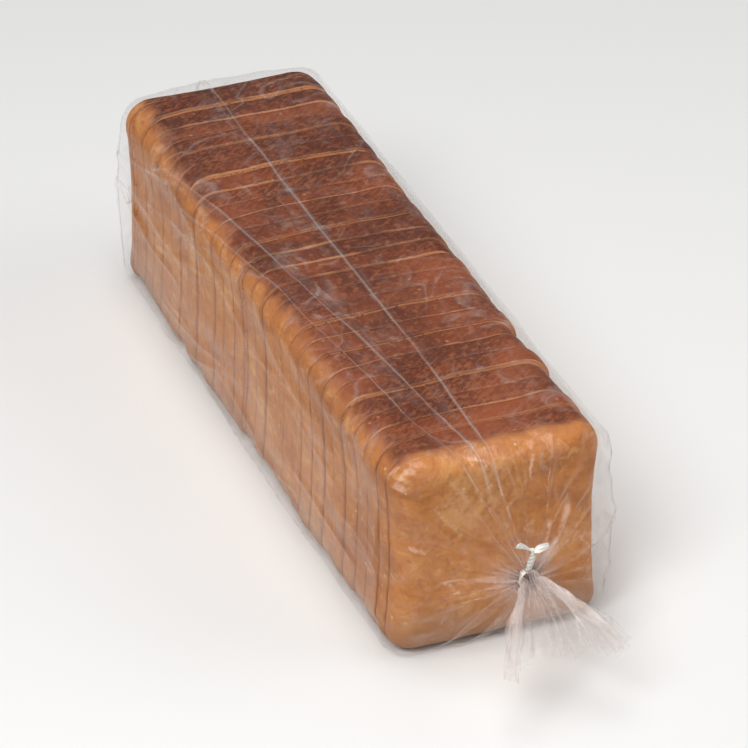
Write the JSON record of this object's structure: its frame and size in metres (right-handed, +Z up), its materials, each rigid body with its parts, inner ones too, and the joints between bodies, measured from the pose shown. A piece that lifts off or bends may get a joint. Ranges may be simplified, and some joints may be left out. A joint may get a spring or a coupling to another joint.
{
  "type": "tin loaf",
  "caption": "Long square sliced tin loaf with a flat dark top crust, standing together in its own clear film bag with a twist-tied neck.",
  "frame": {"origin": "middle of the whole object's underside, on the surface that it rests on", "axes": "+Z up through the top crust, +Y along the loaf from the tied neck to the bag's closed end, +X to the right seen from the neck"},
  "size_m": [0.124, 0.485, 0.112],
  "materials": {
    "crust": "matte baked crust, dark red-brown on top and pale gold at the sides",
    "film": "clear glossy polythene film",
    "tie": "plain plastic-coated wire strip"
  },
  "bodies": {
    "root": {"heel_near": "crust", "slice_02": "crust", "slice_03": "crust", "slice_04": "crust", "slice_05": "crust", "slice_06": "crust", "slice_07": "crust", "slice_08": "crust", "slice_09": "crust", "slice_10": "crust", "slice_11": "crust", "slice_12": "crust", "slice_13": "crust", "slice_14": "crust", "slice_15": "crust", "slice_16": "crust", "slice_17": "crust", "slice_18": "crust", "slice_19": "crust", "slice_20": "crust", "slice_21": "crust", "slice_22": "crust", "slice_23": "crust", "slice_24": "crust", "slice_25": "crust", "slice_26": "crust", "slice_27": "crust", "heel_far": "crust", "film_bag": "film", "twist_tie": "tie"}
  },
  "joints": []
}
